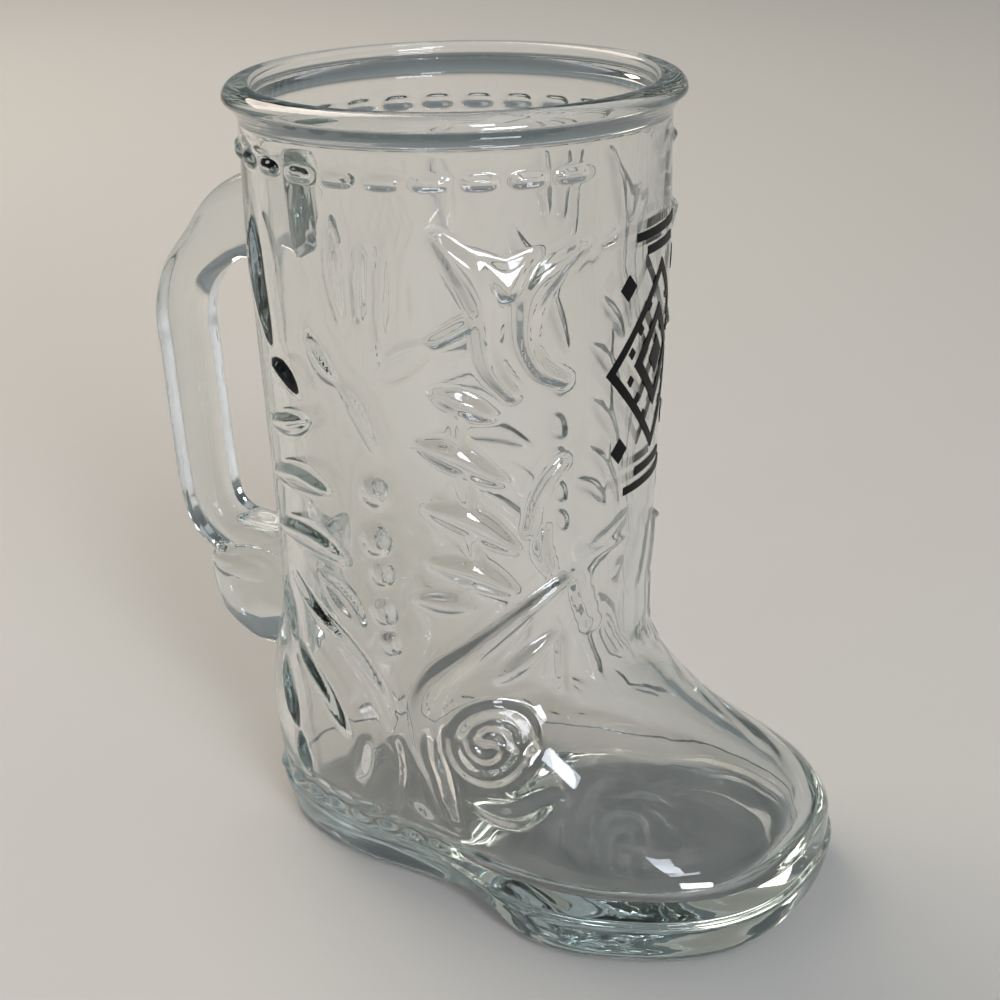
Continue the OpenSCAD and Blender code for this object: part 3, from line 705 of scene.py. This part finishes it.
# handle, spur and collar grow out of the casting, so they become one skin with it
def joinGlass(whole, *additions):
    for piece in additions:
        union = whole.modifiers.new(piece.name, "BOOLEAN")
        union.operation = "UNION"
        union.solver = "MANIFOLD"
        union.object = piece
    ready = whole.evaluated_get(bpy.context.evaluated_depsgraph_get())
    mesh = bpy.data.meshes.new_from_object(ready)
    whole.modifiers.clear()
    whole.data = mesh
    mesh.polygons.foreach_set("use_smooth", np.ones(len(mesh.polygons), bool))
    for piece in additions:
        bpy.data.objects.remove(piece)
    mesh.calc_loop_triangles()
    print("joined glass:", len(mesh.loop_triangles), "triangles")


joinGlass(bootGlass, makeHandle(), makeSpur(), makeCollar())
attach(bootGlass, "root")
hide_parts("rim_bead", "leg_wall", "foot_wall", "sole_plate", "heel_block", "handle_grip",
            "handle_spur", "stitch_bars", "tassel_leaves", "wing_leaves", "scroll_leaves", "ladder_leaves",
            "bead_columns", "instep_scrolls", "heel_plumes", "welt_beads")


# sRGB hex to linear colour
def colour(code):
    v = np.array([int(code[i:i + 2], 16) for i in (1, 3, 5)]) / 255
    linear = np.where(v <= 0.04045, v / 12.92, ((v + 0.055) / 1.055) ** 2.4)
    return (*linear.tolist(), 1.0)


# adds one node: settings by attribute, values by socket, links as socket to (node, output)
def addNode(tree, kind, settings=None, values=None, links=None):
    made = tree.nodes.new(kind)
    for key, value in (settings or {}).items():
        setattr(made, key, value)
    for key, value in (values or {}).items():
        made.inputs[key].default_value = value
    for key, (source, output) in (links or {}).items():
        tree.links.new(source.outputs[output], made.inputs[key])
    return made


def newMaterial(name):
    made = bpy.data.materials.new(name)
    made.use_nodes = True
    made.node_tree.nodes.clear()
    return made, made.node_tree


# pressed soda-lime glass, fire polished: clear and bright, with a grey-green depth in the thick parts and
# faint waves from the mould that make the lines behind it waver. Waves are about 9 mm long and 0.6 mm deep
glassLook = {"wave": 9.0, "detail": 2.0, "rough": 0.45, "bump": 0.06, "deep": 0.6, "ior": 1.52,
             "clear": "#ffffff", "tint": "#d9e1df", "density": 30.36}


def pressedGlass():
    made, tree = newMaterial("pressed_soda_lime_glass")
    place = addNode(tree, "ShaderNodeTexCoord")
    wave = addNode(tree, "ShaderNodeTexNoise",
                   values={"Scale": 1 / (glassLook["wave"] * mm), "Detail": glassLook["detail"],
                           "Roughness": glassLook["rough"]},
                   links={"Vector": (place, "Object")})
    bump = addNode(tree, "ShaderNodeBump",
                   values={"Strength": glassLook["bump"], "Distance": glassLook["deep"] * mm},
                   links={"Height": (wave, "Fac")})
    shader = addNode(tree, "ShaderNodeBsdfPrincipled",
                     values={"Base Color": colour(glassLook["clear"]), "Roughness": 0.0,
                             "IOR": glassLook["ior"], "Transmission Weight": 1.0},
                     links={"Normal": (bump, "Normal")})
    depth = addNode(tree, "ShaderNodeVolumeAbsorption",
                    values={"Color": colour(glassLook["tint"]), "Density": glassLook["density"]})
    addNode(tree, "ShaderNodeOutputMaterial",
            links={"Surface": (shader, "BSDF"), "Volume": (depth, "Volume")})
    return made


# fired ceramic print: black, a little soft in its gloss, with the fine speckle of screened colour, whose
# grain is about 0.6 mm
printLook = {"grain": 0.6, "detail": 2.0, "smooth": 0.3, "rough": 0.5, "ink": "#0c0c0d", "ior": 1.5,
             "shine": 0.1}


def firedPrint():
    made, tree = newMaterial("fired_ceramic_print")
    place = addNode(tree, "ShaderNodeTexCoord")
    grain = addNode(tree, "ShaderNodeTexNoise",
                    values={"Scale": 1 / (printLook["grain"] * mm), "Detail": printLook["detail"]},
                    links={"Vector": (place, "Object")})
    shade = addNode(tree, "ShaderNodeMapRange",
                    values={"To Min": printLook["smooth"], "To Max": printLook["rough"]},
                    links={"Value": (grain, "Fac")})
    shader = addNode(tree, "ShaderNodeBsdfPrincipled",
                     values={"Base Color": colour(printLook["ink"]), "IOR": printLook["ior"],
                             "Specular IOR Level": printLook["shine"]},
                     links={"Roughness": (shade, "Result")})
    addNode(tree, "ShaderNodeOutputMaterial", links={"Surface": (shader, "BSDF")})
    return made


bootGlass.data.materials.clear()
bootGlass.data.materials.append(pressedGlass())
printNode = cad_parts["front_print"]
printNode.data.materials.clear()
printNode.data.materials.append(firedPrint())
print("materials made")

# plain pale floor
stageSizes = {"half": 6.0, "gap": 0.0006, "floor": "#c4c2bc", "rough": 0.7}


def makeFloor():
    half, low = stageSizes["half"], -stageSizes["gap"]
    mesh = bpy.data.meshes.new("floor")
    corners = [(-half, -half, low), (half, -half, low), (half, half, low), (-half, half, low)]
    mesh.from_pydata(corners, [], [(0, 1, 2, 3)])
    made = bpy.data.objects.new("floor", mesh)
    scene.collection.objects.link(made)
    paint, tree = newMaterial("matt_floor_paint")
    shader = addNode(tree, "ShaderNodeBsdfPrincipled",
                     values={"Base Color": colour(stageSizes["floor"]), "Roughness": stageSizes["rough"]})
    addNode(tree, "ShaderNodeOutputMaterial", links={"Surface": (shader, "BSDF")})
    mesh.materials.append(paint)


makeFloor()

# soft dome: pale at the horizon and dimmer above, so that the edges of the glass show
dome = {"top": 0.14, "low": 0.3, "from": 0.02, "to": 0.4, "tint": "#d4e2e4"}


def makeWorld():
    world = bpy.data.worlds.new("studio")
    scene.world = world
    world.use_nodes = True
    tree = world.node_tree
    tree.nodes.clear()
    place = addNode(tree, "ShaderNodeTexCoord")
    split = addNode(tree, "ShaderNodeSeparateXYZ", links={"Vector": (place, "Generated")})
    ramp = addNode(tree, "ShaderNodeMapRange",
                   values={"From Min": dome["from"], "From Max": dome["to"], "To Min": dome["low"],
                           "To Max": dome["top"]},
                   links={"Value": (split, "Z")})
    back = addNode(tree, "ShaderNodeBackground", values={"Color": colour(dome["tint"])},
                   links={"Strength": (ramp, "Result")})
    addNode(tree, "ShaderNodeOutputWorld", links={"Surface": (back, "Background")})


makeWorld()

# softboxes: place, aim, width, height, watts, spread in degrees, colour
lamps = {
    "window": ((0.9, -0.9, 1.1), (0.02, 0, 0.04), 0.3, 0.42, 6.0, 180, "#eef4ff"),
    "lowWindow": ((1.1, -0.8, 0.44), (0, 0, 0.1), 0.5, 0.26, 1.3, 60, "#f2f3ff"),
    "key": ((-1.1, 0.4, 1.25), (-0.1, 0.05, 0), 1.1, 1.1, 18.0, 180, "#fff0e2"),
}
# even light from above: strength, spread in degrees, colour
sky = {"strength": 0.8, "spread": 110.0, "tint": "#f8fbff"}


def aimed(place, target):
    forward = np.array(target) - np.array(place)
    forward = forward / np.linalg.norm(forward)
    right = np.cross(forward, (0, 0, 1))
    right /= np.linalg.norm(right)
    up = np.cross(right, forward)
    turn = np.eye(4)
    turn[:3, 0], turn[:3, 1], turn[:3, 2], turn[:3, 3] = right, up, -forward, place
    return Matrix(turn.tolist())


def makeLamps():
    for name, (place, target, wide, tall, watts, spread, tint) in lamps.items():
        data = bpy.data.lights.new(name, "AREA")
        data.shape = "RECTANGLE"
        data.size, data.size_y, data.energy, data.spread = wide, tall, watts, math.radians(spread)
        data.color = colour(tint)[:3]
        made = bpy.data.objects.new(name, data)
        made.matrix_world = aimed(place, target)
        scene.collection.objects.link(made)
    data = bpy.data.lights.new("sky", "SUN")
    data.energy, data.angle = sky["strength"], math.radians(sky["spread"])
    data.color = colour(sky["tint"])[:3]
    scene.collection.objects.link(bpy.data.objects.new("sky", data))


makeLamps()

# light goes through many faces of the glass before it comes out
scene.cycles.max_bounces = 32
scene.cycles.transmission_bounces = 32
scene.cycles.glossy_bounces = 16

# camera at the photograph's place: lens and sensor in mm, then its axes and its place in metres
view = {
    "lens": 75.06,
    "sensor": 36.0,
    "near": 0.01,
    "right": (0.87155, 0.48998, -0.01803),
    "up": (-0.16037, 0.31961, 0.93387),
    "forward": (-0.46335, 0.81103, -0.35714),
    "place": (0.1975, -0.3319, 0.2195),
}


def makeCamera():
    data = bpy.data.cameras.new("camera")
    data.lens = view["lens"]
    data.sensor_width = view["sensor"]
    data.clip_start = view["near"]
    made = bpy.data.objects.new("camera", data)
    turn = np.eye(4)
    turn[:3, 0], turn[:3, 1] = view["right"], view["up"]
    turn[:3, 2], turn[:3, 3] = -np.array(view["forward"]), view["place"]
    made.matrix_world = Matrix(turn.tolist())
    scene.collection.objects.link(made)
    scene.camera = made


makeCamera()
